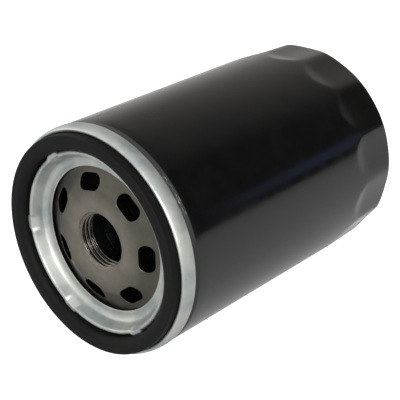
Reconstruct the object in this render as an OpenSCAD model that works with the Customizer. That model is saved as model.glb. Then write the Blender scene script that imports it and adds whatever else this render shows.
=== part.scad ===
// Spin-on oil filter, as an assembly of the pieces that it comes apart into.
// Millimetres. It lies on its side: the filter's axis is +Y, the threaded end faces -Y and +Z is up.
// The origin is the centre of the gasket's sealing face, so every "_y" below is a distance behind it.

/* [Can] */
// Outer diameter of the can
can_d = 76; // [74:0.5:80]
// Length from the gasket's sealing face to the top of the dome
overall_l = 119; // [116:1:135]
// Thickness of the can's drawn sheet
can_t = 0.5; // [0.4:0.02:0.5]
// Radius of the corner between the wall and the dome
corner_r = 5.5; // [4:0.5:8]
// Height of the dome's crown above the corner's tangent plane
crown_h = 3.7; // [2:0.1:5]
// Number of wrench flats round the dome end
flat_count = 14; // [12:1:16]
// Width across opposite flats, where they start
flat_across = 74.1; // [73.6:0.1:74.8]
// Length of the can's end that the flats are pressed into
flat_l = 27; // [24:0.5:30]
// Length of the ramp that leads from the round wall down to each flat
ramp_l = 4; // [3:0.5:6]
// Lean of each flat towards the axis, in degrees
flat_lean = 2; // [1:0.25:4]
// Angle of the first ridge between two flats, in degrees
flat_phase = 1.2; // [0:0.1:25]

/* [Seaming lid] */
// Thickness of the lid's sheet
lid_t = 0.6; // [0.5:0.05:0.6]
// Diameter of the lid's opening over the tapping plate
lid_opening_d = 48; // [46:0.5:50]
// Number of stakes that hold the gasket in its channel
stake_count = 6; // [4:1:8]
// Width of a stake, in degrees
stake_angle = 11; // [8:1:14]

/* [Gasket] */
// Outer diameter of the gasket
gasket_od = 72.7; // [72:0.1:72.8]
// Inner diameter of the gasket
gasket_id = 62.6; // [62.4:0.1:63]
// Height of the gasket
gasket_h = 5.6; // [5.4:0.1:5.6]
// Radius of the rounded inner edge
gasket_round = 2.5; // [1.5:0.1:2.8]

/* [Tapping plate] */
// Minor diameter of the mounting thread, 3/4-16 UNF
thread_minor_d = 17.5; // [17.3:0.05:17.7]
// Diameter of the countersunk mouth of the thread
mouth_d = 19.86; // [19.4:0.02:20.4]
// Thickness of the plate
plate_t = 3.5; // [3:0.1:3.8]
// Number of inlet holes
inlet_count = 7; // [6:1:8]
// Radius that the inlet holes are centred on
inlet_pitch_r = 19.5; // [19:0.1:20]
// Size of an inlet hole, along the circle and across it
inlet_size = [9.2, 5.3]; // [5:0.1:9.6]

/* [Element] */
// Outer diameter of the element's end caps
cap_d = 67; // [66:0.5:68]
// Number of pleats in the paper
pleats = 50; // [40:1:54]
// Thickness of the paper
paper_t = 0.8; // [0.6:0.05:0.8]
// Outer diameter of the perforated centre tube
tube_d = 31; // [30.6:0.1:31.4]
// Rows of holes along the centre tube
tube_rows = 8; // [6:1:10]

/* [Valves and springs] */
// Bore of the bypass opening in the upper end cap
bypass_d = 16; // [14:0.5:17]
// Diameter of the bypass valve's stem
stem_d = 3; // [2.6:0.1:3.2]
// Wire diameter of the bypass spring
bypass_wire = 1.1; // [0.9:0.1:1.3]
// Wire diameter of the spring that seats the element
element_wire = 2.2; // [1.8:0.1:2.4]

/* [Hidden] */
$fn = 96;
slack = 0.05;                   // gap between faces that rest on each other and later part
can_r = can_d / 2;

// The rolled seam, where the lid's edge folds over the can's rim
bead_r = can_r + 0.2;
bead_y = 3.1;                   // front of the bead, behind the proud gasket
channel_r = gasket_od / 2 + 0.1;
fold_r = 0.65;                  // inner shoulder of the bead
bead_round = bead_r - channel_r - fold_r - 0.05;    // outer shoulder of the bead
curl_r = 0.7;                   // rear edge of the bead, curled in
curl_y = 7.7;
neck_r = bead_r - lid_t - 0.03; // the can's rim between the two layers of the fold
rim_y = 4.5;
neck_y = [9, 10.2];             // where the neck widens to the full can

// The lid's lip, which the gasket sits round
lip_r = gasket_id / 2 - 1.45;
crest_r = 0.75;
crest_y = 2.65;
lid_y = 7.1;                    // front of the lid's flat annulus
channel_fillet = 0.7;

// The tapping plate and its hub
plate_y = lid_y + 1.05;         // the lid is welded to it just outside its own opening
plate_r = can_r - 1.5;
plate_back_y = plate_y + plate_t;
mouth_y = 5.4;
hub_r = 12.2;
hub_foot_y = mouth_y + plate_t + 1;
hub_end_y = 11;
slope_angle = 25;               // the plate's middle stands forward, down a slope of this angle
slope_bend = 4;                 // radius of the bends above and below the slope
slope_foot_r = lid_opening_d / 2 + 0.5;

// The can's dome
corner_y = overall_l - crown_h - corner_r;
crown_foot_r = can_r - corner_r;
crown_r = (pow(crown_foot_r, 2) + pow(crown_h + corner_r, 2) - pow(corner_r, 2)) / (2 * crown_h);
crown_y = overall_l - crown_r;
crown_angle = atan2(corner_y - crown_y, crown_foot_r);
flat_y = overall_l - flat_l;
ramp_y = flat_y + ramp_l;
flat_r = flat_across / 2;

// The element, from its lower end cap to its upper one
cap_t = 0.5;
cap_rim_h = 3.5;
cap_r = cap_d / 2;
element_y = [plate_back_y + 5.4, overall_l - 18];
adhesive_t = 2.45;
media_y = [element_y[0] + cap_t + adhesive_t, element_y[1] - cap_t - adhesive_t];
media_r = [tube_d / 2 + 1.1, cap_r - 1.1];
tube_r = tube_d / 2;
tube_t = 0.5;

// The bypass valve, under the upper end cap and inside the centre tube
seat_y = element_y[1] - cap_t;
cage_r = 11.5;
cage_t = 0.5;
cage_y = seat_y - 16.5;
flange_r = tube_r + 0.7;
seal_t = 1.15;
poppet_t = 0.65;
poppet_r = 10.3;
poppet_y = seat_y - slack - seal_t - poppet_t;
stem_r = stem_d / 2;

// Points of an arc round c, from angle a0 to a1
function arc(c, r, a0, a1, n = 6) =
    [for (i = [0:n]) let (a = a0 + (a1 - a0) * i / n) [c[0] + r * cos(a), c[1] + r * sin(a)]];

// Outline of a sheet of thickness t that lies to the left of a path
function side(p, q) = let (d = (q - p) / norm(q - p)) [-d[1], d[0]];
function offset_point(path, i, t) =
    let (last = len(path) - 1,
         before = side(path[max(i - 1, 0)], path[max(i, 1)]),
         after = side(path[min(i, last - 1)], path[min(i + 1, last)]))
    path[i] + t * (before + after) / (1 + before * after);
function sheet(path, t) =
    concat(path, [for (i = [len(path) - 1:-1:0]) offset_point(path, i, t)]);

// A slope of the plate that rises from the foot towards the axis: a bend, a straight and a bend back
function slope(foot, rise, n = 5) =
    let (r = slope_bend, a = slope_angle,
         width = 2 * r * sin(a) + (rise - 2 * r * (1 - cos(a))) / tan(a))
    concat(arc([foot[0] - width, foot[1] - rise + r], r, -90, -90 + a, n),
           arc([foot[0], foot[1] - r], r, 90 + a, 90, n));

// Turns geometry built round Z into geometry round the filter's axis, +Y
module on_axis() rotate([-90, 0, 0]) children();
module turned(outline, angle = 360) on_axis() rotate_extrude(angle = angle) polygon(outline);

// Copies round the axis, the first at angle first, counted from +X towards +Z
module around(count, first = 0) for (i = [0:count - 1]) rotate([0, -first - 360 * i / count, 0]) children();

// A round wire wound into a coil, its radius and height running from start to finish, [radius, height]
module coil(start, finish, turns, wire, steps = 18, sides = 8) {
    rings = round(turns * steps);
    points = [for (i = [0:rings], j = [0:sides - 1])
        let (t = i / rings, a = 360 * turns * t, b = 360 * j / sides,
             centre = start + (finish - start) * t, r = centre[0] + wire / 2 * cos(b))
        [r * cos(a), r * sin(a), centre[1] + wire / 2 * sin(b)]];
    walls = [for (i = [0:rings - 1], j = [0:sides - 1])
        let (k = (j + 1) % sides) [i * sides + j, (i + 1) * sides + j, (i + 1) * sides + k, i * sides + k]];
    foot = [for (j = [0:sides - 1]) j];
    head = [for (j = [sides - 1:-1:0]) rings * sides + j];
    on_axis() polyhedron(points, concat(walls, [foot, head]), convexity = 10);
}

// ---- The pressure shell ----

// The can's outer form set in by a distance, solid, with its flats pressed in
module can_form(inset, rim) {
    outline = concat(
        [[0, rim], [neck_r - inset, rim], [neck_r - inset, neck_y[0]], [can_r - inset, neck_y[1]]],
        arc([crown_foot_r, corner_y], corner_r - inset, 0, crown_angle, 8),
        arc([0, crown_y], crown_r - inset, crown_angle, 90, 6));
    difference() {
        turned(outline);
        around(flat_count, flat_phase + 180 / flat_count)
            translate([0, 0, -can_r / 2]) linear_extrude(can_r)
                polygon([[can_r - inset, flat_y], [flat_r - inset, ramp_y],
                    [flat_r - inset - 40 * tan(flat_lean), ramp_y + 40], [2 * can_r, ramp_y + 40], [2 * can_r, flat_y]]);
    }
}

module can() color("#101112") difference() {
    can_form(0, rim_y);
    can_form(can_t, rim_y - 1);
}

module seam_sealant() color("#a7452c")
    turned([[neck_r - can_t, 3.9], [neck_r - 0.05, 4.15], [neck_r - 0.05, rim_y], [neck_r - can_t, rim_y]]);

// Sheet lid: flat annulus, lip, gasket channel and the bead that closes over the can's rim
module seaming_lid() {
    wall_lean = 20;
    foot_r = 1.2;
    weld_y = plate_y - lid_t - slack;
    foot = [lip_r - 3, weld_y - foot_r];
    crest = [lip_r, crest_y + crest_r];
    path = concat(
        [[lid_opening_d / 2, lid_y], [lid_opening_d / 2 + 1.2, lid_y + 0.12], [foot[0] - 0.7, weld_y - 0.04]],
        arc(foot, foot_r, 90, wall_lean, 5),
        arc(crest, crest_r, 180 + wall_lean, 360),
        arc([crest[0] + crest_r + channel_fillet, gasket_h - channel_fillet], channel_fillet, 180, 90, 4),
        arc([channel_r - channel_fillet, gasket_h - channel_fillet], channel_fillet, 90, 0, 4),
        arc([channel_r + fold_r, bead_y + fold_r], fold_r, 180, 270, 5),
        arc([bead_r - bead_round, bead_y + bead_round], bead_round, 270, 360, 6),
        arc([bead_r - curl_r, curl_y], curl_r, 0, 60, 4));
    color("#c9ccca") {
        turned(sheet(path, lid_t));
        around(stake_count, 5 - stake_angle / 2) stake();
    }
}

// A stake: the lip's outer wall, spread until it meets the rubber
module stake() {
    root_r = lip_r + crest_r - lid_t / 2;
    tip_r = gasket_id / 2 - 0.02;
    turned([[root_r, crest_y + 0.7], [tip_r, crest_y + 0.9], [tip_r, crest_y + 1.5], [root_r, crest_y + 2.1]],
        -stake_angle);
}

module gasket() {
    chamfer = 0.75;             // clears the channel's fillets
    edge = 0.4;
    ri = gasket_id / 2;
    ro = gasket_od / 2;
    color("#1d1f20") turned(concat(
        [[ro - edge, 0], [ro, edge], [ro, gasket_h - chamfer], [ro - chamfer, gasket_h],
         [ri + chamfer, gasket_h], [ri, gasket_h - chamfer]],
        arc([ri + gasket_round, gasket_round], gasket_round, 180, 270, 8)));
}

// ---- The threaded base and the anti-drain-back valve ----

module inlet_hole() {
    r = inlet_size[1] / 2;
    half = (inlet_size[0] - inlet_size[1]) / 2;
    translate([inlet_pitch_r, 0, 0]) rotate([-90, 0, 0]) {
        for (end = [-half, half]) translate([0, end, 0]) cylinder(r = r, h = plate_back_y + 1);
        translate([-r, -half, 0]) cube([2 * r, 2 * half, plate_back_y + 1]);
    }
}

module tapping_plate() {
    bore_r = thread_minor_d / 2;
    front = slope([slope_foot_r, plate_y], plate_y - mouth_y);
    back = slope([slope_foot_r, plate_back_y], plate_y - mouth_y);
    outline = concat(
        [[bore_r, hub_end_y], [bore_r, mouth_y + mouth_d / 2 - bore_r], [mouth_d / 2, mouth_y]],
        front,
        [[plate_r, plate_y], [plate_r, plate_back_y]],
        [for (i = [len(back) - 1:-1:0]) back[i]],
        [[hub_r + 1, hub_foot_y - 1], [hub_r, hub_foot_y], [hub_r, hub_end_y]]);
    color("#6b655e") difference() {
        turned(outline);
        around(inlet_count, 0.5) inlet_hole();
    }
}

// Grips the hub, and lines the way from the hub to the element
module drain_back_collar() {
    inner = [10.4, hub_r + slack];
    outer_r = 15;
    y = [hub_foot_y, hub_end_y + slack, element_y[0] - slack];
    color("#222324") turned([[inner[1], y[0]], [outer_r - 0.8, y[0]], [outer_r, y[0] + 0.8], [outer_r, y[2]],
        [inner[0], y[2]], [inner[0], y[1]], [inner[1], y[1]]]);
}

// The flexible skirt of the valve, which lies over the inlet holes
module drain_back_lip() {
    y = plate_back_y;
    color("#222324") turned([[15.2, y + 1.6], [25, y + 0.1], [27, y + 0.1], [27, y + 1], [25, y + 1.1], [15.2, y + 3]]);
}

// ---- The element ----

module lower_end_cap() {
    y = element_y[0];
    hole_r = 13.4;
    color("#b9b7ae") turned([[hole_r, y], [cap_r, y], [cap_r, y + cap_rim_h], [cap_r - cap_t, y + cap_rim_h],
        [cap_r - cap_t, y + cap_t], [hole_r + cap_t, y + cap_t], [hole_r + cap_t, y + 2.5], [hole_r, y + 2.5]]);
}

module adhesive(from, to, inner)
    color("#b8541f") turned([[inner, from], [cap_r - cap_t, from], [cap_r - cap_t, to], [inner, to]]);
module lower_adhesive() adhesive(element_y[0] + cap_t, media_y[0], tube_r + slack);
module upper_adhesive() adhesive(media_y[1], seat_y, flange_r + slack);

// Zig-zag outline round the axis, out at each pleat's tip and in at each valley
function star(tip, valley) =
    [for (i = [0:2 * pleats - 1]) let (a = 180 * i / pleats, r = i % 2 == 0 ? tip : valley) [r * cos(a), r * sin(a)]];

module filter_media() {
    half_v = atan2(PI / pleats * (media_r[0] + media_r[1]) / 2, media_r[1] - media_r[0]);
    set_back = paper_t / sin(half_v);
    color("#c89b62") on_axis() translate([0, 0, media_y[0]]) linear_extrude(media_y[1] - media_y[0])
        difference() {
            polygon(star(media_r[1], media_r[0] + set_back));
            polygon(star(media_r[1] - set_back, media_r[0]));
        }
}

// Folded strip that closes the paper's two ends, lying over one pleat's tip
module media_clip() {
    depth = 4;
    gap = 1.9;
    clip_t = 0.3;
    length = media_y[1] - media_y[0];
    color("#a9adad") translate([media_r[1] + slack, media_y[0], 0]) difference() {
        translate([-depth, 0, -gap / 2 - clip_t]) cube([depth + clip_t, length, gap + 2 * clip_t]);
        translate([-depth - 1, -1, -gap / 2]) cube([depth + 1, length + 2, gap]);
    }
}

module centre_tube() {
    y = [element_y[0] + cap_t, seat_y - cage_t];
    pitch = (y[1] - y[0] - 8) / tube_rows;
    color("#9ea3a3") difference() {
        turned([[tube_r - tube_t, y[0]], [tube_r, y[0]], [tube_r, y[1]], [tube_r - tube_t, y[1]]]);
        for (row = [0:tube_rows - 1])
            around(4, 22.5 * (row % 2)) translate([-tube_r - 1, y[0] + 4 + pitch * (row + 0.5), 0])
                rotate([0, 90, 0]) cylinder(d = 4.4, h = tube_d + 2);
    }
}

module upper_end_cap() {
    y = element_y[1];
    color("#b9b7ae") turned([[bypass_d / 2, y - cap_t], [cap_r - cap_t, y - cap_t],
        [cap_r - cap_t, y - cap_rim_h], [cap_r, y - cap_rim_h], [cap_r, y], [bypass_d / 2, y]]);
}

// ---- The bypass valve ----

module bypass_cage() {
    window = [9, 10];
    color("#8f9494") difference() {
        turned([[stem_r + 0.08, cage_y], [cage_r, cage_y], [cage_r, seat_y - cage_t], [flange_r, seat_y - cage_t],
            [flange_r, seat_y], [cage_r - cage_t, seat_y], [cage_r - cage_t, cage_y + cage_t],
            [stem_r + 0.08, cage_y + cage_t]]);
        around(2, 45) translate([-cage_r - 1, cage_y + 2, -window[0] / 2])
            cube([2 * cage_r + 2, window[1], window[0]]);
    }
}

module bypass_seal() color("#1b1c1c")
    turned([[6.5, seat_y - slack - seal_t], [poppet_r, seat_y - slack - seal_t], [poppet_r, seat_y - slack],
        [6.5, seat_y - slack]]);

module bypass_poppet() color("#b3b7b6")
    turned([[stem_r + 0.02, poppet_y], [poppet_r, poppet_y], [poppet_r, poppet_y + poppet_t],
        [stem_r + 0.02, poppet_y + poppet_t]]);

// Guide pin of the valve, riveted over the poppet
module bypass_stem() {
    head_y = poppet_y + poppet_t;
    color("#c2c5c4") turned([[0, cage_y - 3], [stem_r - 0.4, cage_y - 3], [stem_r, cage_y - 2.6],
        [stem_r, head_y], [3.2, head_y], [2.6, head_y + 0.9], [0, head_y + 0.9]]);
}

module bypass_spring() {
    ends = [cage_y + cage_t + bypass_wire / 2, poppet_y - bypass_wire / 2];
    color("#7d8285") coil([6, ends[0]], [6, ends[1]], 5, bypass_wire);
}

// Conical coil between the dome and the upper end cap, which holds the element on its seat
module element_spring() {
    top_r = 14;
    dome_y = crown_y + sqrt(pow(crown_r - can_t, 2) - pow(top_r, 2));
    ends = [element_y[1] + slack + element_wire / 2, dome_y - 0.3 - element_wire / 2];
    color("#6f7477") coil([20, ends[0]], [top_r, ends[1]], 3.5, element_wire);
}

can();
seam_sealant();
seaming_lid();
gasket();
tapping_plate();
drain_back_collar();
drain_back_lip();
lower_end_cap();
lower_adhesive();
filter_media();
media_clip();
centre_tube();
upper_adhesive();
upper_end_cap();
bypass_cage();
bypass_seal();
bypass_poppet();
bypass_stem();
bypass_spring();
element_spring();
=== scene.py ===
# Looks of a spin-on oil filter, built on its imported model. Metres in Blender; the tables below are in mm.
# The filter's axis is +Y with the threaded end at -Y. Angles go round the axis from +X towards +Z.
import math
import bmesh
import bpy
import numpy as np
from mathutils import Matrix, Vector


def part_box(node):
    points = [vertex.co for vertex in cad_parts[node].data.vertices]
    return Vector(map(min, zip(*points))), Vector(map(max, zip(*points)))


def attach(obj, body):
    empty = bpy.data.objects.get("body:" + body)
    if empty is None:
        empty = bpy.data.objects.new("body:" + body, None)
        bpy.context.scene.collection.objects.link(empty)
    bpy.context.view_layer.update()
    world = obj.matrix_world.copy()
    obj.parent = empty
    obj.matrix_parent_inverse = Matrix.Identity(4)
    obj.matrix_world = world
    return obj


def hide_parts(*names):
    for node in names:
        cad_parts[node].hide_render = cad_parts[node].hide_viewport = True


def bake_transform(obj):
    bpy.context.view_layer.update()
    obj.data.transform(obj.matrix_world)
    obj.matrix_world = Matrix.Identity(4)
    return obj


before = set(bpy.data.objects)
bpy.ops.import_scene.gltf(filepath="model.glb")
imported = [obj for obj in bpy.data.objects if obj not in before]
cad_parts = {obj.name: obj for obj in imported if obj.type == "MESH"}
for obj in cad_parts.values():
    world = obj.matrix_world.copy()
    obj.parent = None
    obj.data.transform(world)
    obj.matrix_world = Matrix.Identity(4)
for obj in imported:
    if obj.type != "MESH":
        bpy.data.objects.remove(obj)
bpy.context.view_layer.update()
mm = 0.001
print("model loaded:", len(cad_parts), "nodes")


def smooth(x, start, end):
    # 0 before start, 1 after end, eased in between
    t = np.clip((x - start) / (end - start), 0, 1)
    return t * t * (3 - 2 * t)


def arc(centre, radius, first, last, steps=12):
    # points at radius round centre, from one angle to the other in degrees
    a = np.radians(np.linspace(first, last, steps + 1))
    return np.stack([centre[0] + radius * np.cos(a), centre[1] + radius * np.sin(a)], -1)


def rounded(corners, steps=6):
    # closed outline: each corner (radius, along, rounding) becomes an arc tangent to its two sides
    c = np.array(corners, float)
    p, size = c[:, :2], np.maximum(c[:, 2:], 0.02)
    before, after = np.roll(p, 1, 0) - p, np.roll(p, -1, 0) - p
    before /= np.linalg.norm(before, axis=1, keepdims=True)
    after /= np.linalg.norm(after, axis=1, keepdims=True)
    half = np.arccos(np.clip((before * after).sum(1, keepdims=True), -1, 1)) / 2
    middle = before + after
    centre = p + middle / np.linalg.norm(middle, axis=1, keepdims=True) * size / np.sin(half)
    start, end = p + before * size / np.tan(half) - centre, p + after * size / np.tan(half) - centre
    a = np.arctan2(start[:, 1], start[:, 0])
    sweep = (np.arctan2(end[:, 1], end[:, 0]) - a + math.pi) % (2 * math.pi) - math.pi
    a = a[:, None] + sweep[:, None] * np.linspace(0, 1, steps)
    return (centre[:, None] + size[:, None] * np.stack([np.cos(a), np.sin(a)], -1)).reshape(-1, 2)


def fine(outline, longest):
    # same closed outline with its long sides cut into steps no longer than longest
    # hair keeps a side of exactly longest in one step, whichever way its length rounds
    hair = 1e-6
    following = np.roll(outline, -1, 0)
    steps = np.linalg.norm(following - outline, axis=1) / longest
    count = np.maximum(1, np.ceil(steps - hair)).astype(int)
    which = np.repeat(np.arange(len(outline)), count)
    t = (np.arange(len(which)) - np.repeat(np.cumsum(count) - count, count)) / count[which]
    return outline[which] + (following - outline)[which] * t[:, None]


def sheet(path, thickness):
    # closed outline of a sheet that lies to the left of an open path: the path, then its offset back
    d = np.gradient(path, axis=0)
    d /= np.linalg.norm(d, axis=1, keepdims=True)
    return np.concatenate([path, (path + thickness * np.stack([-d[:, 1], d[:, 0]], -1))[::-1]])


def gridFaces(rows, columns, rowLoop=True, columnLoop=True):
    # one quad per cell of a grid of points, its first side along the columns
    i = np.arange(rows if rowLoop else rows - 1)[:, None]
    j = np.arange(columns if columnLoop else columns - 1)[None, :]
    nextI, nextJ = (i + 1) % rows, (j + 1) % columns
    corners = (i * columns + j, i * columns + nextJ, nextI * columns + nextJ, nextI * columns + j)
    return np.stack(np.broadcast_arrays(*corners), -1).reshape(-1, 4)


def onAxis(angle, radius, along):
    # cylinder coordinates to points: (r cos a, along, r sin a)
    angle, radius, along = np.broadcast_arrays(angle, radius, along)
    return np.stack([radius * np.cos(angle), along, radius * np.sin(angle)], -1)


def turn(outline, segments, shape=None):
    # a closed outline swept round the axis; shape(angle, radius, along) may move its points
    x, y = outline[:, 0], outline[:, 1]
    if (x * np.roll(y, -1) - np.roll(x, -1) * y).sum() < 0:
        outline = outline[::-1]
    angle = np.arange(segments)[:, None] * 2 * math.pi / segments
    radius, along = outline[None, :, 0], outline[None, :, 1]
    if shape:
        radius, along = shape(angle, radius, along)
    return onAxis(angle, radius, along), gridFaces(segments, len(outline))


weld = {"doubles": 2e-6, "slivers": 1e-7}   # metres: points this close are one, edges this short go


def makePiece(name, points, faces, materials, body, node, slot, zone=None, recalculate=False):
    # points in mm become a smooth piece that stands for a node; zone picks each face's material
    mesh = bpy.data.meshes.new(name)
    faces = np.asarray(faces)
    mesh.vertices.add(points.size // 3)
    mesh.vertices.foreach_set("co", (points * mm).astype(np.float32).ravel())
    mesh.loops.add(faces.size)
    mesh.loops.foreach_set("vertex_index", faces.astype(np.int32).ravel())
    mesh.polygons.add(len(faces))
    mesh.polygons.foreach_set("loop_start", np.arange(0, faces.size, 4, dtype=np.int32))
    mesh.polygons.foreach_set("loop_total", np.full(len(faces), 4, np.int32))
    for material in materials:
        mesh.materials.append(material)
    if zone is not None:
        mesh.polygons.foreach_set("material_index", zone.astype(np.int32))
    mesh.update(calc_edges=True)
    work = bmesh.new()
    work.from_mesh(mesh)
    bmesh.ops.remove_doubles(work, verts=work.verts, dist=weld["doubles"])
    bmesh.ops.dissolve_degenerate(work, edges=work.edges, dist=weld["slivers"])
    if recalculate:
        bmesh.ops.recalc_face_normals(work, faces=work.faces)
    work.to_mesh(mesh)
    work.free()
    mesh.polygons.foreach_set("use_smooth", np.ones(len(mesh.polygons), bool))
    piece = bpy.data.objects.new(name, mesh)
    bpy.context.scene.collection.objects.link(piece)
    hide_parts(node)
    if isinstance(body, str):
        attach(piece, body)
    else:
        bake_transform(piece)


def colour(hexValue):
    # sRGB hex to the linear colour that shaders take
    c = [int(hexValue[i:i + 2], 16) / 255 for i in (1, 3, 5)]
    return [v / 12.92 if v <= 0.04045 else ((v + 0.055) / 1.055) ** 2.4 for v in c] + [1.0]


def newMaterial(name, **settings):
    material = bpy.data.materials.new(name)
    material.use_nodes = True
    shader = material.node_tree.nodes["Principled BSDF"]
    for key, value in settings.items():
        shader.inputs[key.replace("_", " ")].default_value = colour(value) if isinstance(value, str) else value
    material.diffuse_color = shader.inputs["Base Color"].default_value
    return material, shader


def addNode(owner, kind, inputs=None, **settings):
    # a node with its settings; each input is a value, a hex colour, or another node's output to link
    tree = owner.node_tree
    node = tree.nodes.new("ShaderNode" + kind)
    for key, value in settings.items():
        setattr(node, key, value)
    for key, value in (inputs or {}).items():
        if isinstance(value, bpy.types.NodeSocket):
            tree.links.new(value, node.inputs[key])
        else:
            node.inputs[key].default_value = colour(value) if isinstance(value, str) else value
    return node


def paintMaterial():
    # gloss black enamel, sprayed on the drawn can and baked: sharp dark reflections with a faint orange peel
    look = {"peelWidth": 2.6, "dustWidth": 9.0, "scuffWidth": 0.5, "rubAt": 0.66, "rubSpan": 0.2,
            "rubAlong": 9.3, "rubWidth": 0.6, "strokeWidth": 0.3}   # mm, and radians round the axis
    m, shader = newMaterial("black_baked_enamel_sprayed", Base_Color="#080808", Metallic=0.0, Roughness=0.16,
                            IOR=1.5)
    place = addNode(m, "TexCoord").outputs["Object"]
    peel = addNode(m, "TexNoise", {"Vector": place, "Scale": 1 / (look["peelWidth"] * mm), "Detail": 2.0,
                                   "Roughness": 0.45})
    film = addNode(m, "TexNoise", {"Vector": place, "Scale": 1 / (look["dustWidth"] * mm), "Detail": 5.0,
                                   "Roughness": 0.6})
    stretch = addNode(m, "Mapping", {"Vector": place, "Scale": (1.0, 0.12, 1.0)})
    scuff = addNode(m, "TexNoise", {"Vector": stretch.outputs[0], "Scale": 1 / (look["scuffWidth"] * mm),
                                    "Detail": 3.0, "Roughness": 0.7})
    haze = addNode(m, "MapRange", {"Value": film.outputs["Fac"], "From Min": 0.35, "From Max": 0.7,
                                   "To Min": 0.13, "To Max": 0.2})
    fineHaze = addNode(m, "MapRange", {"Value": scuff.outputs["Fac"], "From Min": 0.62, "From Max": 0.8,
                                       "To Min": 0.0, "To Max": 0.06})
    total = addNode(m, "Math", {0: haze.outputs[0], 1: fineHaze.outputs[0]}, operation="ADD")
    m.node_tree.links.new(total.outputs[0], shader.inputs["Roughness"])
    tint = addNode(m, "ValToRGB", {"Fac": film.outputs["Fac"]})
    tint.color_ramp.elements[0].position, tint.color_ramp.elements[0].color = 0.3, colour("#060607")
    tint.color_ramp.elements[1].position, tint.color_ramp.elements[1].color = 0.75, colour("#0a0a09")
    # seaming roller's rub beside the lid: short pale strokes round the can, on one part of its edge only
    parts = addNode(m, "SeparateXYZ", {0: place})
    heading = addNode(m, "Math", {0: parts.outputs[2], 1: parts.outputs[0]}, operation="ARCTAN2")
    offHeading = addNode(m, "Math", {0: heading.outputs[0], 1: look["rubAt"], 2: look["rubSpan"]},
                         operation="COMPARE")
    offAlong = addNode(m, "Math", {0: parts.outputs[1], 1: look["rubAlong"] * mm, 2: look["rubWidth"] * mm},
                       operation="COMPARE")
    around = addNode(m, "Mapping", {"Vector": place, "Scale": (0.1, 1.0, 0.1)})
    strokes = addNode(m, "TexNoise", {"Vector": around.outputs[0], "Scale": 1 / (look["strokeWidth"] * mm),
                                      "Detail": 3.0, "Roughness": 0.6})
    sharp = addNode(m, "MapRange", {"Value": strokes.outputs["Fac"], "From Min": 0.54, "From Max": 0.68})
    zone = addNode(m, "Math", {0: offHeading.outputs[0], 1: offAlong.outputs[0]}, operation="MULTIPLY")
    rubbed = addNode(m, "Math", {0: zone.outputs[0], 1: sharp.outputs[0]}, operation="MULTIPLY")
    coat = addNode(m, "Mix", {"Factor": rubbed.outputs[0], "A": tint.outputs[0], "B": "#85867f"},
                   data_type="RGBA")
    m.node_tree.links.new(coat.outputs[2], shader.inputs["Base Color"])
    bump = addNode(m, "Bump", {"Height": peel.outputs["Fac"], "Strength": 0.06, "Distance": 0.0002})
    m.node_tree.links.new(bump.outputs[0], shader.inputs["Normal"])
    return m


def zincMaterial():
    # dull zinc plate with a clear passivate on pressed steel: soft cool grey with a milky sheen,
    # faint patches and press marks
    look = {"patchWidth": 10.0, "grainWidth": 0.7, "drawWidth": 0.35}   # mm
    m, shader = newMaterial("zinc_plated_pressed_steel_passivated", Base_Color="#b4b8b6", Metallic=0.75,
                            Roughness=0.44)
    place = addNode(m, "TexCoord").outputs["Object"]
    patch = addNode(m, "TexNoise", {"Vector": place, "Scale": 1 / (look["patchWidth"] * mm), "Detail": 4.0,
                                    "Roughness": 0.55})
    tint = addNode(m, "ValToRGB", {"Fac": patch.outputs["Fac"]})
    tint.color_ramp.elements[0].position, tint.color_ramp.elements[0].color = 0.36, colour("#8f9697")
    tint.color_ramp.elements[1].position, tint.color_ramp.elements[1].color = 0.66, colour("#b1b2ad")
    middle = tint.color_ramp.elements.new(0.5)
    middle.color = colour("#a0a4a1")
    grain = addNode(m, "TexNoise", {"Vector": place, "Scale": 1 / (look["grainWidth"] * mm), "Detail": 3.0,
                                    "Roughness": 0.6})
    speckle = addNode(m, "Mix", {"Factor": 0.22, "A": tint.outputs[0], "B": grain.outputs["Color"]},
                      data_type="RGBA", blend_type="SOFT_LIGHT")
    m.node_tree.links.new(speckle.outputs[2], shader.inputs["Base Color"])
    rough = addNode(m, "MapRange", {"Value": patch.outputs["Fac"], "From Min": 0.3, "From Max": 0.7,
                                    "To Min": 0.34, "To Max": 0.48})
    m.node_tree.links.new(rough.outputs[0], shader.inputs["Roughness"])
    # rings left by drawing the lip: the noise reads only radius and distance along, so it runs round the axis
    parts = addNode(m, "SeparateXYZ", {0: place})
    across = addNode(m, "CombineXYZ", {0: parts.outputs[0], 1: parts.outputs[2]})
    radius = addNode(m, "VectorMath", {0: across.outputs[0]}, operation="LENGTH")
    ring = addNode(m, "CombineXYZ", {0: radius.outputs["Value"], 1: parts.outputs[1]})
    draw = addNode(m, "TexNoise", {"Vector": ring.outputs[0], "Scale": 1 / (look["drawWidth"] * mm),
                                   "Detail": 2.0, "Roughness": 0.5})
    height = addNode(m, "Mix", {"Factor": 0.35, "A": draw.outputs["Fac"], "B": grain.outputs["Fac"]},
                     data_type="FLOAT")
    bump = addNode(m, "Bump", {"Height": height.outputs[0], "Strength": 0.18, "Distance": 0.00006})
    m.node_tree.links.new(bump.outputs[0], shader.inputs["Normal"])
    return m


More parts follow.
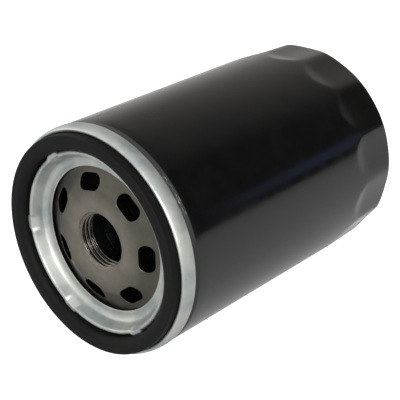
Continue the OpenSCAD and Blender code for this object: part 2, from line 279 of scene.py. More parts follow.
def plainMaterial(name, base, light, metallic, roughness, spread, width, bumpDepth, bumpWidth, shine=0.5):
    # base colour drifts to a lighter one over patches of width mm, and roughness by spread
    # bumps are bumpWidth mm across
    m, shader = newMaterial(name, Base_Color=base, Metallic=metallic, Roughness=roughness,
                            Specular_IOR_Level=shine)
    place = addNode(m, "TexCoord").outputs["Object"]
    patch = addNode(m, "TexNoise", {"Vector": place, "Scale": 1 / (width * mm), "Detail": 4.0, "Roughness": 0.6})
    tint = addNode(m, "ValToRGB", {"Fac": patch.outputs["Fac"]})
    tint.color_ramp.elements[0].position, tint.color_ramp.elements[0].color = 0.33, colour(base)
    tint.color_ramp.elements[1].position, tint.color_ramp.elements[1].color = 0.7, colour(light)
    m.node_tree.links.new(tint.outputs[0], shader.inputs["Base Color"])
    rough = addNode(m, "MapRange", {"Value": patch.outputs["Fac"], "From Min": 0.3, "From Max": 0.7,
                                    "To Min": roughness - spread, "To Max": roughness + spread})
    m.node_tree.links.new(rough.outputs[0], shader.inputs["Roughness"])
    grain = addNode(m, "TexNoise", {"Vector": place, "Scale": 1 / (bumpWidth * mm), "Detail": 3.0,
                                    "Roughness": 0.6})
    bump = addNode(m, "Bump", {"Height": grain.outputs["Fac"], "Strength": 0.5, "Distance": bumpDepth * mm})
    m.node_tree.links.new(bump.outputs[0], shader.inputs["Normal"])
    return m


def darkenOutwards(m, start, end, least):
    # painted shade: multiplies the colour by 1 inside radius start, falling to least at radius end
    shader = m.node_tree.nodes["Principled BSDF"]
    parts = addNode(m, "SeparateXYZ", {0: addNode(m, "TexCoord").outputs["Object"]})
    across = addNode(m, "CombineXYZ", {0: parts.outputs[0], 1: parts.outputs[2]})
    radius = addNode(m, "VectorMath", {0: across.outputs[0]}, operation="LENGTH")
    tone = addNode(m, "MapRange", {"Value": radius.outputs["Value"], "From Min": start * mm,
                                   "From Max": end * mm, "To Min": 1.0, "To Max": least})
    before = shader.inputs["Base Color"].links[0].from_socket
    after = addNode(m, "VectorMath", {0: before, 1: tone.outputs[0]}, operation="MULTIPLY")
    m.node_tree.links.new(after.outputs[0], shader.inputs["Base Color"])


paint = paintMaterial()
zinc = zincMaterial()
# matt nitrile, compression moulded: nearly black, with only a broad weak sheen and a very fine tooth
nitrile = plainMaterial("black_nitrile_moulded_matt", "#060706", "#0c0d0c", 0.0, 0.62, 0.06, 7.0, 0.02, 0.5, 0.12)
# the valve's nitrile is the same rubber, a shade deeper as painted shade, so the inside reads black through the
# holes and the bore
nitrileValve = plainMaterial("black_nitrile_valve_moulded", "#040405", "#070708",
                             0.0, 0.6, 0.05, 5.0, 0.01, 0.4, 0.1)
# pressed steel left oily and dark by its phosphate bath: brown grey with a dull metal sheen
phosphated = plainMaterial("phosphated_steel_pressed_oily_painted_shade", "#6d6960", "#7e7a71",
                           1.0, 0.36, 0.05, 6.0, 0.02, 0.35)
# painted shade: the colour darkens from the dome's top out over its slope, so the top looks lighter than the slope
darkenOutwards(phosphated, 12.0, 19.5, 0.5)
# pierced walls of the holes and the cut edge of the lid's opening, burnished by the punch: near black as painted
# shade, so the holes look deep and the edge reads as a shadowed gap
pierced = plainMaterial("pierced_steel_painted_shade", "#171614", "#24221f", 1.0, 0.5, 0.05, 1.5, 0.02, 0.4)
# the thread is cut after the phosphate: bare steel with a smooth sharp shine, its grey kept dark as painted shade
# for the shadowed bore
cutSteel = plainMaterial("machined_steel_tapped_bright", "#625e57", "#77736c", 1.0, 0.19, 0.03, 1.2, 0.006, 0.25)
# inner metals: tinned caps are pale and satin, the rolled tube is a dull dark grey as painted shade so the inside of
# the bore reads dark, wire is dark with a hard shine
capSteel = plainMaterial("tinned_steel_pressed_cap", "#a9a79e", "#c2c0b6", 1.0, 0.36, 0.08, 9.0, 0.01, 0.6)
tubeSteel = plainMaterial("galvanised_steel_rolled_perforated", "#5d6262", "#7b8080",
                          1.0, 0.4, 0.08, 4.0, 0.015, 0.9)
valveSteel = plainMaterial("zinc_steel_drawn_valve", "#969b9b", "#b8bcba", 1.0, 0.3, 0.06, 3.0, 0.008, 0.4)
springSteel = plainMaterial("music_wire_coiled_oil_tempered", "#50555a", "#6d7276",
                            1.0, 0.33, 0.07, 2.0, 0.006, 0.3)
# compound, cured plastisol and resin paper: the first two flowed and set smooth, the paper is matt and fibrous
sealant = plainMaterial("red_seam_compound_flowed", "#8c3320", "#a9472c", 0.0, 0.4, 0.05, 2.5, 0.03, 0.8)
plastisol = plainMaterial("orange_plastisol_cured", "#a94a1b", "#c3622a", 0.0, 0.34, 0.06, 5.0, 0.04, 1.4)
paper = plainMaterial("resin_filter_paper_pleated", "#b98a50", "#d2a468", 0.0, 0.82, 0.05, 3.0, 0.08, 0.45)
print("materials made")


can = {"radius": 38.0, "sheet": 0.5, "rim": 4.5, "neck": 37.4, "neckAlong": (8.9, 9.9), "length": 119.0,
       "corner": 5.5, "crown": 3.7, "flats": 14, "firstRidge": 1.2, "flatStart": 92.5, "ramp": 5.0,
       "flatRadius": 37.05, "lean": 2.0, "ridgeSoftness": 2.6, "edgeSoftness": 0.13, "footSoftness": 0.3,
       "pressReach": 8.0, "poleFade": (0.5, 6.0),
       "wallRings": (14.0, 88.0, 12), "flatRings": (89.0, 101.0, 44), "lastRings": (101.8, 0.3, 12),
       "segmentsPerFlat": 20}   # mm and degrees
# rings are where they start, where they end and how many; the last ones end that far under the corner


def canShape(angle, radius, along, inset):
    # wall minus how deep it lies under the pressed flats
    # a ramp plane leads down to a flat plane that leans in a little
    half = math.pi / can["flats"]
    turned = (angle - math.radians(can["firstRidge"])) % (2 * half)
    e = half - np.abs(turned - half)
    soft = math.radians(can["ridgeSoftness"])
    e = (np.sqrt(e ** 2 + soft ** 2) - soft) * half / (math.hypot(half, soft) - soft)
    press, lean = can["radius"] - can["flatRadius"], math.tan(math.radians(can["lean"]))
    deep = press / can["ramp"] * (along - can["flatStart"])
    level = press + lean * (along - can["flatStart"] - can["ramp"])
    into = (deep + level - np.sqrt((deep - level) ** 2 + can["footSoftness"] ** 2)) / 2
    depth = radius - (can["radius"] - inset - into) / np.cos(half - e)
    pressed = (depth + np.sqrt(depth ** 2 + can["edgeSoftness"] ** 2)) / 2 * smooth(radius, *can["poleFade"])
    reached = along > can["flatStart"] - can["pressReach"]
    return np.maximum(radius - np.where(reached, pressed, 0), 0), along


def canWall(inset, rim):
    # profile from the rim, over neck, wall and corner, to the top of the crown on the axis
    cornerAlong = can["length"] - can["crown"] - can["corner"]
    foot = can["radius"] - can["corner"]
    crownRadius = (foot ** 2 + (can["crown"] + can["corner"]) ** 2 - can["corner"] ** 2) / (2 * can["crown"])
    crownAlong = can["length"] - crownRadius
    meet = math.degrees(math.atan2(cornerAlong - crownAlong, foot))
    neck, wall = can["neck"] - inset, can["radius"] - inset
    ease = smooth(np.linspace(0, 1, 9), 0, 1)
    easeAlong = np.linspace(can["neckAlong"][0] - 0.3, can["neckAlong"][1] + 0.3, 9)
    first, flats, last = can["wallRings"], can["flatRings"], can["lastRings"]
    return np.concatenate([
        [[neck, rim], [neck, rim + 0.4], [neck, 6.5]],
        np.stack([neck + (wall - neck) * ease, easeAlong], -1),
        np.stack([np.full(first[2], wall), np.linspace(*first)], -1),
        np.stack([np.full(flats[2], wall), np.linspace(*flats)], -1),
        np.stack([np.full(last[2], wall), np.linspace(last[0], cornerAlong - last[1], last[2])], -1),
        arc([foot, cornerAlong], can["corner"] - inset, 0, meet, 26),
        arc([0, crownAlong], crownRadius - inset, meet, 90, 20)[1:]])


def buildCan():
    outer, inner = canWall(0, can["rim"]), canWall(can["sheet"], can["rim"])[::-1]
    segments = can["flats"] * can["segmentsPerFlat"]
    angle = math.radians(can["firstRidge"]) + np.arange(segments)[:, None] * 2 * math.pi / segments
    sides = [onAxis(angle, *canShape(angle, wall[None, :, 0], wall[None, :, 1], inset))
             for wall, inset in ((outer, 0), (inner, can["sheet"]))]
    points = np.concatenate(sides, 1)
    faces = gridFaces(segments, points.shape[1]).reshape(segments, -1, 4)
    faces = np.delete(faces, len(outer) - 1, 1).reshape(-1, 4)   # between the two poles there is no face
    makePiece("can_shell", points, faces, [paint], "canister", "can", "can_paint")


buildCan()
print("can built")


lid = {"sheet": 0.6, "opening": 24.35, "along": 7.3, "weldAlong": 7.5, "lip": 29.85, "crest": 0.75,
       "crestAlong": 2.65, "footRadius": 2.2, "footIn": 3.83,
       "wallLean": 20.0, "channelFillet": 0.7, "channelRadius": 36.45, "channelAlong": 5.6, "fold": 0.65,
       "bead": 38.2, "beadAlong": 3.1, "shoulder": 4.0, "curl": 0.7, "curlAlong": 7.7,
       "stakes": 6, "firstStake": 5.0, "stakeWidth": 12.0, "stakePush": 0.8, "stakeStep": 2.4,
       "stakeAlong": (3.3, 5.0), "stakeWithin": 31.0, "stakeRise": 0.2,
       "longest": 0.9, "segments": 480}   # mm and degrees


def lidShape(angle, radius, along):
    # at each stake the lip is punched outwards onto the rubber, with a short step at both ends
    pitch = 2 * math.pi / lid["stakes"]
    off = np.abs((angle - math.radians(lid["firstStake"]) + pitch / 2) % pitch - pitch / 2)
    half, step = math.radians(lid["stakeWidth"] / 2), math.radians(lid["stakeStep"])
    inside = 1 - smooth(off, half - step, half)
    punched = (1 - smooth(along, *lid["stakeAlong"])) * (radius < lid["stakeWithin"])
    outer = smooth(radius, lid["lip"] - 0.1, lid["lip"] + 0.6)
    inner = 1 - smooth(radius, lid["lip"] - 0.6, lid["lip"] + 0.1)
    crest = 1 - smooth(np.abs(radius - lid["lip"] + 0.35), 0.3, 0.9)
    return (radius + lid["stakePush"] * inside * punched * (0.35 + 0.65 * outer + 0.25 * inner),
            along + lid["stakeRise"] * inside * punched * crest)


def buildLid():
    c = lid
    lip = [c["lip"], c["crestAlong"] + c["crest"]]
    beadRound = c["bead"] - c["channelRadius"] - c["fold"] - 0.05
    quarter = np.linspace(0, math.pi / 2, 12)    # the roll's shoulder is an ellipse, longer along than across
    foot = [c["lip"] - c["footIn"], c["weldAlong"] - c["footRadius"]]
    drape = np.linspace(c["opening"], foot[0] - 0.1, 9)    # the annulus dips to where it is welded to the plate
    dip = (c["weldAlong"] - c["along"]) * smooth(drape, c["opening"] + 0.3, foot[0])
    path = np.concatenate([
        np.stack([drape, c["along"] + dip], -1),
        arc(foot, c["footRadius"], 90, c["wallLean"], 10),
        arc(lip, c["crest"], 180 + c["wallLean"], 360, 16),
        arc([lip[0] + c["crest"] + c["channelFillet"], c["channelAlong"] - c["channelFillet"]],
            c["channelFillet"], 180, 90, 4),
        arc([c["channelRadius"] - c["channelFillet"], c["channelAlong"] - c["channelFillet"]],
            c["channelFillet"], 90, 0, 4),
        arc([c["channelRadius"] + c["fold"], c["beadAlong"] + c["fold"]], c["fold"], 180, 270, 6),
        np.stack([c["bead"] - beadRound * (1 - np.sin(quarter)),
                  c["beadAlong"] + c["shoulder"] * (1 - np.cos(quarter))], -1),
        np.stack([np.full(3, c["bead"]), np.linspace(c["beadAlong"] + c["shoulder"] + 0.2, 7.4, 3)], -1),
        arc([c["bead"] - c["curl"], c["curlAlong"]], c["curl"], 0, 60, 8)])
    outline = fine(sheet(path, c["sheet"]), c["longest"])
    points, faces = turn(outline, c["segments"], lidShape)
    # the pierced edge of the opening takes the near-black material: painted shade for the shadowed gap above the
    # plate
    reach = np.hypot(points[..., 0], points[..., 2]).ravel()[faces].max(1)
    depth = points[..., 1].ravel()[faces].max(1)
    edge = (reach < c["opening"] + 0.05) & (depth > c["along"] + c["sheet"] / 2)
    makePiece("seaming_lid_plated", points, faces, [zinc, pierced], "canister", "seaming_lid", "lid_zinc", edge)


gasket = {"outer": 36.35, "inner": 31.3, "height": 5.6, "edge": 0.4, "round": 2.5, "back": 0.75,
          "longest": 0.5, "segments": 256}   # mm


def buildGasket():
    c = gasket
    outline = fine(rounded([
        (c["inner"], 0, c["round"]), (c["outer"], 0, c["edge"]), (c["outer"], c["height"], c["back"]),
        (c["inner"], c["height"], c["back"])], 12), c["longest"])
    points, faces = turn(outline, c["segments"])
    makePiece("gasket_ring", points, faces, [nitrile], "canister", "gasket", "gasket_rubber")


buildLid()
buildGasket()
print("lid and gasket built")


plate = {"mouth": 9.93, "mouthAlong": 5.4, "thickness": 3.5, "along": 8.15, "radius": 36.5,
         "slope": 25.0, "bend": 4.0, "foot": 24.5, "hub": 12.2, "hubEnd": 11.0, "holes": 7, "firstHole": 0.5,
         "holeAt": 19.5, "holeLong": 9.2, "holeWide": 5.3, "holeEdge": 0.2, "patch": (13.2, 25.6),
         "minor": 8.75, "major": 9.525, "pitch": 1.5875, "crestFlat": 0.2, "flank": 60.0, "countersink": 1.7,
         "endChamfer": 0.5, "backEdge": 0.4, "crowding": 1.4, "rimRound": 0.3, "rimCorner": 0.08,
         "frontRings": 12, "boreRings": 96, "wallFaces": (16, 24)}   # mm and degrees


def frontAlong(r):
    # flat round the mouth, a bend, a straight slope, a bend back and flat again under the lid
    c = plate
    a, bend, rise = math.radians(c["slope"]), c["bend"], c["along"] - c["mouthAlong"]
    top = c["foot"] - 2 * bend * math.sin(a) - (rise - 2 * bend * (1 - math.cos(a))) / math.tan(a)
    over = c["mouthAlong"] + bend - np.sqrt(bend ** 2 - np.clip(r - top, 0, bend * math.sin(a)) ** 2)
    under = c["along"] - bend + np.sqrt(bend ** 2 - np.clip(c["foot"] - r, 0, bend * math.sin(a)) ** 2)
    line = c["mouthAlong"] + bend * (1 - math.cos(a)) + (r - top - bend * math.sin(a)) * math.tan(a)
    return np.where(r < top + bend * math.sin(a), over, np.where(r > c["foot"] - bend * math.sin(a), under, line))


def backAlong(r):
    return frontAlong(r) + plate["thickness"]


def holePatch(perArc, perSide):
    # one sector of the dished part: loops run from its edge over the front to the hole, through it and back
    c = plate
    half = math.pi / c["holes"]
    low, high = c["patch"]
    a = np.linspace(-half, half, perArc + 1)
    r = np.linspace(low, high, perSide + 1)
    edge = np.concatenate([
        np.stack([low * np.cos(a[:-1]), low * np.sin(a[:-1])], -1),
        np.stack([r[:-1] * np.cos(half), r[:-1] * np.sin(half)], -1),
        np.stack([high * np.cos(a[:0:-1]), high * np.sin(a[:0:-1])], -1),
        np.stack([r[:0:-1] * np.cos(half), -r[:0:-1] * np.sin(half)], -1)])
    away = edge - [c["holeAt"], 0]
    length = np.linalg.norm(away, axis=1)
    away /= length[:, None]
    # reach of the hole's outline in each direction: its straight sides, or its round ends
    ends, size = (c["holeLong"] - c["holeWide"]) / 2, c["holeWide"] / 2
    cosA, sinA = np.abs(away[:, 0]), np.abs(away[:, 1])
    straight = size / np.maximum(cosA, 1e-6)
    curved = ends * sinA + np.sqrt(size ** 2 - (ends * cosA) ** 2)
    hole = np.where(straight * sinA <= ends, straight, curved)
    lip = c["holeEdge"] * (1 - np.cos(np.linspace(math.pi / 2, 0, 7)))     # how far the rounding reaches outwards
    drop = c["holeEdge"] * (1 - np.sin(np.linspace(math.pi / 2, 0, 7)))
    t = np.linspace(1, 0, 13)[None, :] ** c["crowding"]    # rings crowd towards the hole
    flat = (hole + c["holeEdge"])[:, None] + (length - hole - c["holeEdge"])[:, None] * t
    backEdge = c["backEdge"] * c["holeEdge"]    # the far edge is rounded less
    behind = (hole + backEdge)[:, None] + (length - hole - backEdge)[:, None] * t[:, ::-1]
    reach = np.concatenate([
        flat, hole[:, None] + lip[None, 1:], hole[:, None] + lip[None, ::-1][:, :-1] * c["backEdge"], behind], 1)
    x = c["holeAt"] + away[:, 0:1] * reach
    z = away[:, 1:2] * reach
    radius = np.hypot(x, z)
    n = flat.shape[1]
    along = np.concatenate([
        frontAlong(radius[:, :n]), frontAlong(radius[:, n:n + 6]) + drop[1:],
        backAlong(radius[:, n + 6:n + 12]) - drop[::-1][:-1] * c["backEdge"], backAlong(radius[:, n + 12:])], 1)
    return x, along, z


def threadRadius(angle, along):
    # right-hand 60 degree thread: from the crest's flat the radius rises by the flank's tangent per mm along
    c = plate
    phase = (along / c["pitch"] + angle / (2 * math.pi)) % 1
    off = np.abs(phase - 0.5) * c["pitch"]
    flank = c["minor"] + math.tan(math.radians(c["flank"])) * (off - c["crestFlat"])
    cut = np.clip(flank, c["minor"], c["major"])
    mouth = c["mouth"] - c["countersink"] * (along - c["mouthAlong"])
    end = c["minor"] + c["endChamfer"] - (c["hubEnd"] - along)
    return np.maximum(np.maximum(cut, mouth), end)


def buildPlate():
    c = plate
    perArc, perSide = 32, 10
    around = perArc * c["holes"]
    step = 2 * math.pi / c["holes"]
    x, along, z = holePatch(perArc, perSide)
    turnBy = math.radians(c["firstHole"]) + step * np.arange(c["holes"])[:, None, None]
    patches = np.stack([x * np.cos(turnBy) - z * np.sin(turnBy), along + 0 * turnBy,
                        x * np.sin(turnBy) + z * np.cos(turnBy)], -1)
    patchFaces = gridFaces(*x.shape, columnLoop=False)
    # hub and thread: from the patches' inner edge over the mouth, down the bore and back up outside the hub
    angle = math.radians(c["firstHole"]) - step / 2 + np.arange(around)[:, None] * 2 * math.pi / around
    low, high = c["patch"]
    frontR = np.linspace(low, c["mouth"] + 0.25, c["frontRings"])
    boreY = np.linspace(c["mouthAlong"] + 0.06, c["hubEnd"] - 0.02, c["boreRings"])
    outside = np.array([[c["minor"] + 0.8, c["hubEnd"]], [c["hub"] - 0.4, c["hubEnd"]],
                        [c["hub"] - 0.1, c["hubEnd"] - 0.04],
                        [c["hub"], c["hubEnd"] - 0.25], [c["hub"], 10.3], [c["hub"], 9.95], [c["hub"] + 0.1, 9.6],
                        [c["hub"] + 0.35, 9.2], [c["hub"] + 0.7, 8.96], [low, backAlong(np.array(low))]])
    pieces = [onAxis(angle, frontR, frontAlong(frontR)), onAxis(angle, threadRadius(angle, boreY), boreY),
              onAxis(angle, outside[:, 0], outside[:, 1])]
    hub = np.concatenate(pieces, 1)
    hubFaces = gridFaces(around, hub.shape[1], columnLoop=False)
    column = np.tile(np.arange(hub.shape[1] - 1), around)
    cutFace = (column >= c["frontRings"]) & (column < c["frontRings"] + c["boreRings"])
    # flat rim: out along the front, round the edge and back in behind
    front, back = c["along"], c["along"] + c["thickness"]
    outer, corner = c["radius"] - c["rimRound"], c["radius"] - c["rimCorner"]
    rimR = np.array([high, 27, 30, 33, outer, corner, c["radius"], c["radius"], corner, outer, 33, 29, high])
    rimY = np.array([frontAlong(np.array(high)), front, front, front, front,
                     front + c["rimCorner"], front + c["rimRound"], back - c["rimRound"], back - c["rimCorner"],
                     back, back, back, backAlong(np.array(high))])
    rim = onAxis(angle, rimR, rimY)
    rimFaces = gridFaces(around, len(rimR), columnLoop=False)
    count = x.size
    points = np.concatenate([patches.reshape(-1, 3), hub.reshape(-1, 3), rim.reshape(-1, 3)])
    faces = np.concatenate([(patchFaces[None] + count * np.arange(c["holes"])[:, None, None]).reshape(-1, 4),
                            hubFaces + count * c["holes"], rimFaces + count * c["holes"] + hub.size // 3])
    # faces inside the holes take the near-black material: painted shade, so the holes look deep
    across = np.tile(np.arange(x.shape[1] - 1), len(x) * c["holes"])
    wall = (across >= c["wallFaces"][0]) & (across < c["wallFaces"][1])
    zone = np.concatenate([2 * wall, cutFace, np.zeros(len(rimFaces))])
    makePiece("tapping_plate_threaded", points, faces, [phosphated, cutSteel, pierced], "canister",
              "tapping_plate", "plate_steel", zone, recalculate=True)


buildPlate()
print("tapping plate built")


# outlines of the moulding's two parts: corners as (radius, along, rounding)
valve = {"collar": [(12.25, 9.9, 0.2), (14.2, 9.9, 0.4), (15.0, 10.7, 0.4), (15.0, 17.0, 0.5), (13.1, 17.0, 0.1),
                    (12.8, 16.7, 0.1), (12.5, 17.0, 0.1), (10.4, 17.0, 0.5), (10.4, 11.05, 0.4),
                    (12.25, 11.05, 0.1)],
         "skirt": [(15.2, 13.25, 0.3), (25.0, 11.75, 3.0), (27.0, 11.75, 0.35), (27.0, 12.65, 0.35),
                   (25.0, 12.75, 2.0), (20.0, 13.7, 0.5), (19.2, 13.95, 0.3), (15.2, 14.65, 0.4)],
         "longest": 0.8, "collarSegments": 160, "skirtSegments": 192}   # mm


def buildValve():
    collar = fine(rounded(valve["collar"], 5), valve["longest"])
    makePiece("drain_back_collar_moulded", *turn(collar, valve["collarSegments"]), [nitrileValve],
              "canister", "drain_back_collar", "valve_rubber")
    skirt = fine(rounded(valve["skirt"], 5), valve["longest"])
    makePiece("drain_back_lip_moulded", *turn(skirt, valve["skirtSegments"]), [nitrileValve],
              "drain_back_valve", "drain_back_lip", "valve_rubber")


element = {"cap": 33.5, "capSheet": 0.5, "capRim": 3.5, "low": 17.05, "high": 101.0, "glue": 2.45,
           "ribs": (20.5, 28.5), "ribHeight": 0.3, "ribWidth": 0.9, "capCorner": 1.0,
           "upperInner": 8.0, "lowerInner": 14.1, "capSegments": 224, "glueSegments": 160,
           "glueFoot": 0.85, "creep": 0.35, "creepReach": 0.5, "glueDip": 0.38, "glueInner": (15.55, 16.25),
           "pleats": 50, "pleatIn": 16.6, "pleatOut": 32.4, "paper": 0.8, "paperEnd": 2.95,
           "perPleat": 24, "foldShare": 0.35, "foldTurn": 0.86}   # mm


def buildCaps():
    c = element
    # pressed cups: a bead near the middle and one near the rim stiffen the flat
    def ribbed(edge, rim, inwards, inner):
        flat = np.linspace(inner, c["cap"] - c["capCorner"] - 0.2, 70)
        press = c["ribHeight"] * sum(np.exp(-((flat - rib) / c["ribWidth"]) ** 2) for rib in c["ribs"])
        face = np.stack([flat, edge + inwards * press], -1)
        quarter, size = np.linspace(0, math.pi / 2, 8), c["capCorner"]
        corner = np.stack([c["cap"] - size + size * np.sin(quarter),
                           edge + inwards * size * (1 - np.cos(quarter))], -1)
        return np.concatenate([face, corner, [[c["cap"], edge + inwards * rim]]])
    upper = ribbed(c["high"], c["capRim"], -1, c["upperInner"])
    thick = sheet(upper, -c["capSheet"])
    makePiece("upper_end_cap_pressed", *turn(fine(thick, 1.0), c["capSegments"]), [capSteel], "element",
              "upper_end_cap", "cap_steel")
    neck = [[13.4, 19.55], [13.4, 17.8], [13.5, 17.4], [13.75, 17.12]]    # short collar round the outlet
    lower = np.concatenate([neck, ribbed(c["low"], c["capRim"], 1, c["lowerInner"])])
    makePiece("lower_end_cap_pressed", *turn(fine(sheet(lower, c["capSheet"]), 1.0), c["capSegments"]),
              [capSteel], "element", "lower_end_cap", "cap_steel")


def buildGlue():
    c = element
    # the plastisol creeps a little up the steel at both edges
    ends = (("lower_adhesive_cured", "lower_adhesive", c["low"], 1, c["glueInner"][0]),
            ("upper_adhesive_cured", "upper_adhesive", c["high"], -1, c["glueInner"][1]))
    for name, node, end, side, inner in ends:
        base, top = end + side * c["glueFoot"], end + side * (c["capSheet"] + c["glue"])
        r = np.linspace(inner, c["cap"] - c["capSheet"] - 0.02, 40)
        creep = c["creep"] * (np.exp(-(r - r[0]) / c["creepReach"]) + np.exp(-(r[-1] - r) / c["creepReach"]))
        surface = np.stack([r, top - side * (c["glueDip"] - creep)], -1)
        below = [[r[-1] - 0.05, base + side * 0.6], [r[-1] - 0.8, base], [r[0] + 0.1, base]]
        outline = np.concatenate([surface, below])
        makePiece(name, *turn(outline, c["glueSegments"]), [plastisol], "element", node, "adhesive")


def buildPaper():
    # centreline: radius goes in and out once per pleat with rounded folds
    # the paper is that line offset by half its thickness to each side
    c = element
    s = np.arange(c["pleats"] * c["perPleat"]) / c["perPleat"]
    straight = 1 - 2 * np.abs(2 * (s % 1) - 1)
    folded = np.sin(straight * math.pi / 2 * c["foldTurn"]) / math.sin(math.pi / 2 * c["foldTurn"])
    wave = folded * c["foldShare"] + straight * (1 - c["foldShare"])
    tip, valley = c["pleatOut"] - c["paper"] / 2, c["pleatIn"] + c["paper"] / 2
    radius = (tip + valley) / 2 + (tip - valley) / 2 * wave
    angle = (s - 0.5) * 2 * math.pi / c["pleats"]
    line = np.stack([radius * np.cos(angle), radius * np.sin(angle)], -1)
    d = np.roll(line, -1, 0) - np.roll(line, 1, 0)
    d /= np.linalg.norm(d, axis=1, keepdims=True)
    out = np.stack([d[:, 1], -d[:, 0]], -1) * c["paper"] / 2
    y = np.linspace(c["low"] + c["paperEnd"], c["high"] - c["paperEnd"], 26)
    outer, inner = line + out, line - out
    def curtain(edge, along):
        return np.stack(np.broadcast_arrays(edge[:, None, 0], along[None, :], edge[:, None, 1]), -1)
    points = np.concatenate([curtain(outer, y), curtain(inner, y[::-1])], 1)
    makePiece("filter_media_pleated", points, gridFaces(len(line), 2 * len(y)), [paper], "element",
              "filter_media", "media_paper", recalculate=True)


# each spring: wire, number of turns, and where its wire's centre starts and ends as (radius, along)
springs = {"bypass": {"wire": 1.1, "turns": 5, "start": (6.0, 85.55), "end": (6.0, 98.1)},
           "element": {"wire": 2.2, "turns": 3.5, "start": (20.0, 102.15), "endRadius": 14.0},
           "deadTurns": 0.6, "perTurn": 56, "sides": 16}   # mm


def coil(start, end, turns, wire):
    # round wire along a helix whose radius and height go from start to end; the dead turns at its ends lie flat
    count = int(turns * springs["perTurn"])
    t = np.linspace(0, 1, count + 1)
    dead = springs["deadTurns"] / turns
    ease = springs["perTurn"] // 4    # the rise is averaged over this many steps to each side
    rise = np.clip((t - dead * 0.5) / (1 - dead), 0, 1)
    rise = np.convolve(np.pad(rise, ease, mode="edge"), np.ones(2 * ease + 1) / (2 * ease + 1), "valid")
    a = t * turns * 2 * math.pi
    radius = start[0] + (end[0] - start[0]) * t
    y = start[1] + (end[1] - start[1]) * rise
    line = onAxis(a, radius, y)
    d = np.gradient(line, axis=0)
    d /= np.linalg.norm(d, axis=1, keepdims=True)
    side = onAxis(a, 1.0, 0.0)
    side -= (side * d).sum(1, keepdims=True) * d
    side /= np.linalg.norm(side, axis=1, keepdims=True)
    up = np.cross(d, side)
    b = np.arange(springs["sides"]) * 2 * math.pi / springs["sides"]

    def rings(centre, s, u, size):
        spokes = s[:, None] * np.cos(b)[None, :, None] + u[:, None] * np.sin(b)[None, :, None]
        return centre[:, None] + size[:, None, None] * spokes

    body = rings(line, side, up, np.full(count + 1, wire / 2))
    # rounded-off ends: two shrinking rings and a point
    shrink, out = np.array([0.92, 0.7, 0.0]) * wire / 2, np.array([0.12, 0.22, 0.25]) * wire
    first = rings(line[:1] - d[:1] * out[::-1, None], np.repeat(side[:1], 3, 0), np.repeat(up[:1], 3, 0),
                  shrink[::-1])
    last = rings(line[-1:] + d[-1:] * out[:, None], np.repeat(side[-1:], 3, 0), np.repeat(up[-1:], 3, 0), shrink)
    points = np.concatenate([first, body, last])
    return points, gridFaces(len(points), springs["sides"], rowLoop=False)


def buildSprings():
    c = springs["bypass"]
    small = coil(c["start"], c["end"], c["turns"], c["wire"])
    makePiece("bypass_spring_coiled", *small, [springSteel],
              ("bypass_valve", "element", (0, 0.0981, 0), (0, 0.0856, 0)),
              "bypass_spring", "spring_steel", recalculate=True)
    c = springs["element"]
    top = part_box("element_spring")[1].y / mm
    large = coil(c["start"], (c["endRadius"], top - c["wire"] / 2), c["turns"], c["wire"])
    makePiece("element_spring_coiled", *large, [springSteel],
              ("element", "canister", (0, 0.1022, 0), (0, 0.1160, 0)),
              "element_spring", "spring_steel", recalculate=True)


buildValve()
buildCaps()
buildGlue()
buildPaper()
buildSprings()
print("element, valves and springs built")

finishes = {"seam_sealant": sealant, "media_clip": tubeSteel, "centre_tube": tubeSteel, "bypass_cage": valveSteel,
            "bypass_seal": nitrileValve, "bypass_poppet": valveSteel, "bypass_stem": valveSteel}
for node, material in finishes.items():
    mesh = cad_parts[node].data
    mesh.materials.clear()
    mesh.materials.append(material)
print("carried-over nodes finished")


studio = {"floorAlong": -0.0382, "floorSize": 3.0, "azimuth": 41.63, "elevation": 25.91, "distance": 0.3170,
          "target": (0.04337, 0.0040, 0.02896), "lens": 102.3,   # metres and degrees
          "wall": ((0.0, 0.015), (1.0, 0.9), (0.325, 0.025), (0.4, 0.07), (0.46, 0.11), (0.65, 0.2), (0.8, 0.28),
                   (0.855, 0.4), (0.88, 0.55)),
          "frontWall": (1.3, 1.3, 1.28, 1.0), "frontFade": (0.6, 0.25), "depthFade": (0.62, 0.88), "depthBoost": 2.9,
          "floorGlow": (0.37, 1.1), "glowReach": (0.25, 1.6), "aim": (0, 0.055, 0)}

# name, power in watts, size, direction from the filter, distance and tint
softboxes = [("front_box", 6.0, (0.45, 0.45), (0.66, -0.6, 0.46), 0.9, "#ffffff"),
             ("left_box", 1.5, (0.7, 0.5), (-0.9, -0.25, 0.4), 1.1, "#fff8ec"),
             ("blue_strip", 0.05, (0.3, 0.15), (0.64, 0.75, 0.15), 1.3, "#a8b8ff")]


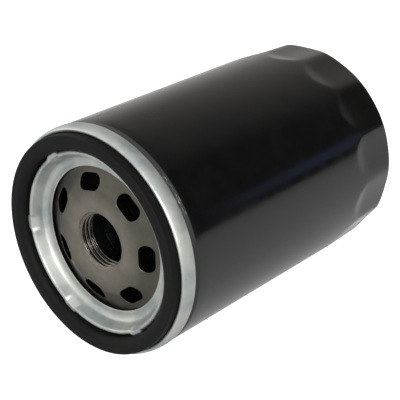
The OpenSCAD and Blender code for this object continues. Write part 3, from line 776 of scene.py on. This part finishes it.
def buildStudio():
    c = studio
    s, z = c["floorSize"], c["floorAlong"]
    mesh = bpy.data.meshes.new("floor")
    mesh.from_pydata([(-s, -s, z), (s, -s, z), (s, s, z), (-s, s, z)], [], [(0, 1, 2, 3)])
    floor = bpy.data.objects.new("floor", mesh)
    bpy.context.scene.collection.objects.link(floor)
    # opal acrylic of a light table: burnt-out white to the eye, softer in reflections
    m, shader = newMaterial("opal_acrylic_light_table", Base_Color="#9c9c9c", Roughness=0.7,
                            Emission_Color="#ffffff")
    seen = addNode(m, "LightPath").outputs["Is Camera Ray"]
    reach = addNode(m, "VectorMath", {0: addNode(m, "TexCoord").outputs["Object"]}, operation="LENGTH")
    near = addNode(m, "MapRange", {"Value": reach.outputs["Value"], "From Min": c["glowReach"][0],
                                   "From Max": c["glowReach"][1],
                                   "To Min": c["floorGlow"][0], "To Max": c["floorGlow"][0] * 0.5})
    glow = addNode(m, "MapRange", {"Value": seen, "To Min": near.outputs[0], "To Max": c["floorGlow"][1]})
    m.node_tree.links.new(glow.outputs[0], shader.inputs["Emission Strength"])
    mesh.materials.append(m)
    # surroundings: bright walls in front and beside; behind, a pale wall on the left fades to a dark room on
    # the right, and everything is brighter straight back
    world = bpy.data.worlds.new("studio")
    bpy.context.scene.world = world
    world.use_nodes = True
    background = world.node_tree.nodes["Background"]
    parts = addNode(world, "SeparateXYZ", {0: addNode(world, "TexCoord").outputs["Generated"]})
    across = addNode(world, "MapRange", {"Value": parts.outputs[0], "From Min": 1.0, "From Max": -1.0})
    fade = addNode(world, "ValToRGB", {"Fac": across.outputs[0]})
    ramp = fade.color_ramp.elements
    for k, (at, grey) in enumerate(c["wall"]):
        element = ramp[k] if k < 2 else ramp.new(at)
        element.position, element.color = at, (grey, 0.975 * grey, 0.93 * grey, 1)   # slightly warm
    front = addNode(world, "MapRange", {"Value": parts.outputs[1], "From Min": c["frontFade"][0],
                                        "From Max": c["frontFade"][1]}, interpolation_type="SMOOTHSTEP")
    mix = addNode(world, "Mix", {"Factor": front.outputs[0], "A": fade.outputs[0], "B": c["frontWall"]},
                  data_type="RGBA")
    # the camera itself sees plain white, so only reflections show the walls
    seen = addNode(world, "LightPath").outputs["Is Camera Ray"]
    plain = addNode(world, "Mix", {"Factor": seen, "A": mix.outputs[2], "B": "#ffffff"}, data_type="RGBA")
    world.node_tree.links.new(plain.outputs[2], background.inputs["Color"])
    deeper = addNode(world, "MapRange", {"Value": parts.outputs[1], "From Min": c["depthFade"][0],
                                         "From Max": c["depthFade"][1], "To Min": 1.0, "To Max": c["depthBoost"]})
    world.node_tree.links.new(deeper.outputs[0], background.inputs["Strength"])


def addSoftbox(name, power, size, direction, distance, tint):
    # oblong light at a distance along a direction from the filter's middle, facing it
    light = bpy.data.lights.new(name, "AREA")
    light.shape, light.size, light.size_y = "RECTANGLE", size[0], size[1]
    light.energy, light.color = power, colour(tint)[:3]
    lamp = bpy.data.objects.new(name, light)
    d = Vector(direction).normalized()
    lamp.location = Vector(studio["aim"]) + d * distance
    lamp.rotation_mode = "QUATERNION"
    lamp.rotation_quaternion = d.to_track_quat("Z", "Y")
    bpy.context.scene.collection.objects.link(lamp)


def placeCamera():
    c = studio
    a, e = math.radians(c["azimuth"]), math.radians(c["elevation"])
    back = Vector((math.sin(a) * math.cos(e), -math.cos(a) * math.cos(e), math.sin(e)))
    data = bpy.data.cameras.new("camera")
    data.lens, data.sensor_width = c["lens"], 36.0
    data.clip_start, data.clip_end = 0.01, 50
    camera = bpy.data.objects.new("camera", data)
    camera.location = Vector(c["target"]) + back * c["distance"]
    camera.rotation_mode = "QUATERNION"
    camera.rotation_quaternion = back.to_track_quat("Z", "Y")
    bpy.context.scene.collection.objects.link(camera)
    bpy.context.scene.camera = camera


buildStudio()
for box in softboxes:
    addSoftbox(*box)
placeCamera()
bpy.context.scene.view_settings.view_transform = "Standard"
print("studio ready")
